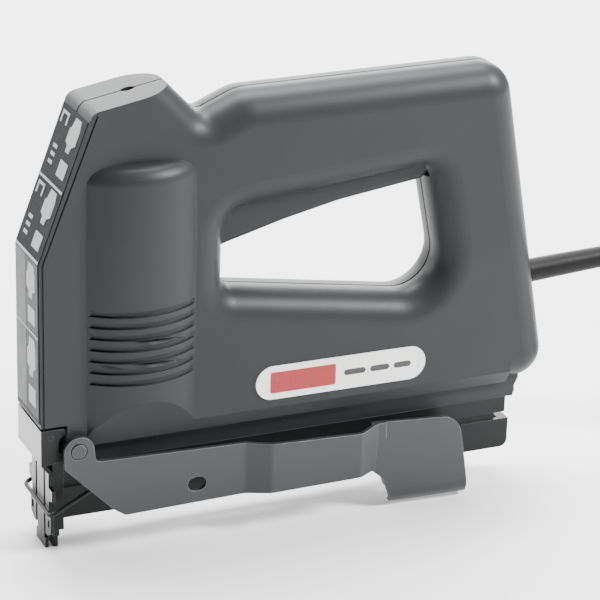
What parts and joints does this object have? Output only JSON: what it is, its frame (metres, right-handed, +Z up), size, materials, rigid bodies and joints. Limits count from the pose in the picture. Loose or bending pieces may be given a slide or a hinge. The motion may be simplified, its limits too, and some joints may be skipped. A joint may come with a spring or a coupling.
{
  "type": "electric stapler",
  "caption": "Hand-held electric stapler with closed grip handle, trigger, side latch lever and wire bail over the nose, slide-out magazine and mains cord.",
  "frame": {"origin": "middle of the hand grip, in the tool's middle plane, 167 mm above the nose's tip and 125 mm behind the front face", "axes": "+X from the front face to the rear, where the cord leaves; +Y to the tool's right; +Z up, away from the staple outlet"},
  "size_m": [0.4611, 0.0672, 0.1946],
  "materials": {
    "housing_plastic": "satin, fine moulded grain",
    "trigger_plastic": "satin",
    "front_label_film": "printed film, satin",
    "white_label": "printed plate, satin",
    "nose_steel": "brushed, zinc plated",
    "frame_steel": "blackened",
    "lever_steel": "satin paint",
    "black_steel": "semi-gloss black",
    "bright_steel": "zinc plated",
    "spring_steel": "plain",
    "yoke_steel": "plain",
    "copper_winding": "enamelled wire",
    "bobbin_plastic": "natural nylon",
    "black_rubber": "matt",
    "board": "lacquered board",
    "component_black": "moulded epoxy",
    "component_blue": "sleeved",
    "dial_plastic": "satin",
    "knob_plastic": "satin",
    "wire_insulation": "smooth",
    "cord_rubber": "matt, slightly smooth",
    "tie_plastic": "satin"
  },
  "bodies": {
    "housing": {"left_shell": "housing_plastic", "right_shell": "housing_plastic", "shell_screws": "bright_steel", "front_label": "front_label_film", "side_label_left": "white_label", "side_label_right": "white_label", "nose_frame": "frame_steel", "frame_screws": "bright_steel", "nose_hinge_pins": "bright_steel", "lever_stud": "bright_steel", "far_stud": "bright_steel", "solenoid_coil": "copper_winding", "coil_bobbin": "bobbin_plastic", "solenoid_yoke": "yoke_steel", "return_spring": "spring_steel", "rubber_bumper": "black_rubber", "circuit_board": "board", "capacitor": "component_blue", "thyristor": "component_black", "choke": "copper_winding", "adjuster_board": "board", "adjuster_body": "component_blue", "trigger_switch": "component_black", "terminal_block": "dial_plastic", "lead_wires": "wire_insulation", "coil_leads": "wire_insulation", "cord_clamp": "bobbin_plastic", "clamp_screws": "bright_steel", "trigger_pin": "bright_steel", "trigger_spring": "spring_steel", "magazine_rail": "black_steel", "catch_spring": "spring_steel", "cord_sleeve": "cord_rubber", "inner_cord": "cord_rubber", "power_cord": "cord_rubber", "power_cord_coil": "cord_rubber", "plug_lead": "cord_rubber", "cord_tie": "tie_plastic", "mains_plug": "cord_rubber", "plug_pins": "bright_steel"},
    "nose_plate": {"nose_plate": "nose_steel"},
    "latch_lever": {"latch_lever": "lever_steel"},
    "wire_bail": {"wire_bail": "bright_steel"},
    "far_link": {"far_link": "lever_steel"},
    "driver": {"armature": "yoke_steel", "push_rod": "bright_steel", "driver_carrier": "yoke_steel", "driver_blade": "spring_steel"},
    "power_adjuster": {"power_adjuster": "dial_plastic"},
    "switch_plunger": {"switch_plunger": "dial_plastic"},
    "trigger": {"trigger": "trigger_plastic"},
    "magazine": {"magazine": "black_steel", "magazine_screw": "bright_steel", "staple_core": "bright_steel", "guide_rod": "bright_steel", "pusher_spring": "spring_steel"},
    "pusher": {"pusher": "bright_steel"},
    "magazine_catch": {"magazine_catch": "knob_plastic"}
  },
  "joints": [
    {"name": "trigger_pivot", "type": "hinge", "parent": "housing", "child": "trigger", "pos_m": [0.045, 0, -0.013], "axis": [0, 1, 0], "range_deg": [0, 3.2], "stiffness_Nm_per_rad": 1.2, "springref_deg": -2.86, "deforming": ["trigger_spring"]},
    {"name": "switch_stroke", "type": "slide", "parent": "housing", "child": "switch_plunger", "axis": [0, 0, 1], "range_m": [0, 0.0037], "stiffness_N_per_m": 60, "springref_m": -0.004},
    {"name": "driver_stroke", "type": "slide", "parent": "housing", "child": "driver", "axis": [0, 0, -1], "range_m": [0, 0.025], "stiffness_N_per_m": 350, "springref_m": -0.02, "deforming": ["return_spring"]},
    {"name": "latch_pivot", "type": "hinge", "parent": "housing", "child": "latch_lever", "pos_m": [-0.1106, 0, -0.1189], "axis": [0, 1, 0], "range_deg": [0, 60]},
    {"name": "bail_pivot", "type": "hinge", "parent": "latch_lever", "child": "wire_bail", "pos_m": [-0.1004, 0, -0.1362], "axis": [0, 1, 0], "range_deg": [-60, 0]},
    {"name": "far_link_pivot", "type": "hinge", "parent": "housing", "child": "far_link", "pos_m": [-0.1106, 0, -0.1189], "axis": [0, 1, 0], "range_deg": [0, 60]},
    {"name": "nose_pivot", "type": "hinge", "parent": "housing", "child": "nose_plate", "pos_m": [-0.1208, 0, -0.1134], "axis": [0, 1, 0], "range_deg": [0, 12]},
    {"name": "magazine_slide", "type": "slide", "parent": "housing", "child": "magazine", "axis": [1, 0, 0], "range_m": [0, 0.11]},
    {"name": "pusher_slide", "type": "slide", "parent": "magazine", "child": "pusher", "axis": [1, 0, 0], "range_m": [0, 0.15], "stiffness_N_per_m": 20, "springref_m": -0.1, "deforming": ["pusher_spring"]},
    {"name": "catch_press", "type": "slide", "parent": "housing", "child": "magazine_catch", "axis": [-1, 0, 0], "range_m": [0, 0.003], "stiffness_N_per_m": 200, "springref_m": -0.01, "deforming": ["catch_spring"]},
    {"name": "adjuster_turn", "type": "hinge", "parent": "housing", "child": "power_adjuster", "pos_m": [-0.0833, 0, 0.019], "axis": [0, 0, 1], "range_deg": [-135, 135]}
  ],
  "couplings": [
    {"joint": "switch_stroke", "follows": "trigger_pivot", "m_per_rad": 0.065},
    {"joint": "bail_pivot", "follows": "latch_pivot", "ratio": -1},
    {"joint": "far_link_pivot", "follows": "latch_pivot", "ratio": 1},
    {"joint": "nose_pivot", "follows": "latch_pivot", "ratio": 0.2}
  ]
}
